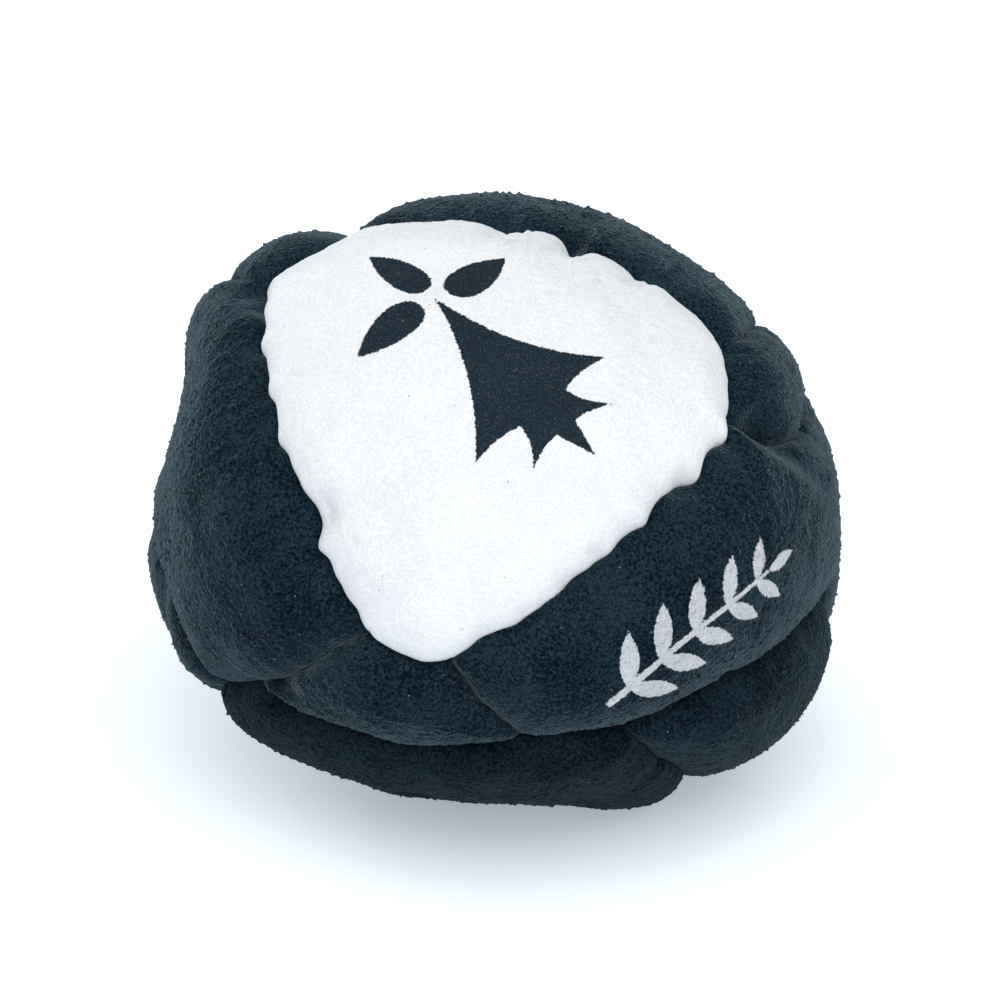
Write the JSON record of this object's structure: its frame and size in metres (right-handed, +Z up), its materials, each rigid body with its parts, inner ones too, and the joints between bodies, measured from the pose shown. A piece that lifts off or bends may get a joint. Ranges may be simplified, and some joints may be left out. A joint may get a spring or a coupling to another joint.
{
  "type": "footbag",
  "caption": "Palm-sized round kicking bag of stitched suede panels, dark with one white panel, filled with loose grains and slumped to rest flat.",
  "frame": {"origin": "point on the floor under the bag's middle, in the flat patch that it rests on", "axes": "+X to the right along the widest way, +Y to the back, +Z up from the floor"},
  "size_m": [0.0573, 0.0539, 0.0488],
  "materials": {
    "suede_black": "napped suede",
    "suede_white": "napped suede",
    "filling": "loose grains",
    "thread": "twisted polyester thread"
  },
  "bodies": {
    "root": {"top_panel": "suede_white", "upper_small_right_panel": "suede_black", "upper_small_left_panel": "suede_black", "upper_small_front_panel": "suede_black", "upper_large_back_panel": "suede_black", "upper_large_left_panel": "suede_black", "upper_large_right_panel": "suede_black", "lower_small_back_panel": "suede_black", "lower_small_left_panel": "suede_black", "lower_small_right_panel": "suede_black", "lower_large_right_panel": "suede_black", "lower_large_left_panel": "suede_black", "lower_large_front_panel": "suede_black", "bottom_panel": "suede_black", "filling": "filling", "top_seam_thread": "thread", "belt_seam_thread": "thread", "bottom_seam_thread": "thread", "upper_seam_thread_1": "thread", "upper_seam_thread_2": "thread", "upper_seam_thread_3": "thread", "upper_seam_thread_4": "thread", "upper_seam_thread_5": "thread", "upper_seam_thread_6": "thread", "lower_seam_thread_1": "thread", "lower_seam_thread_2": "thread", "lower_seam_thread_3": "thread", "lower_seam_thread_4": "thread", "lower_seam_thread_5": "thread", "lower_seam_thread_6": "thread"}
  },
  "joints": []
}
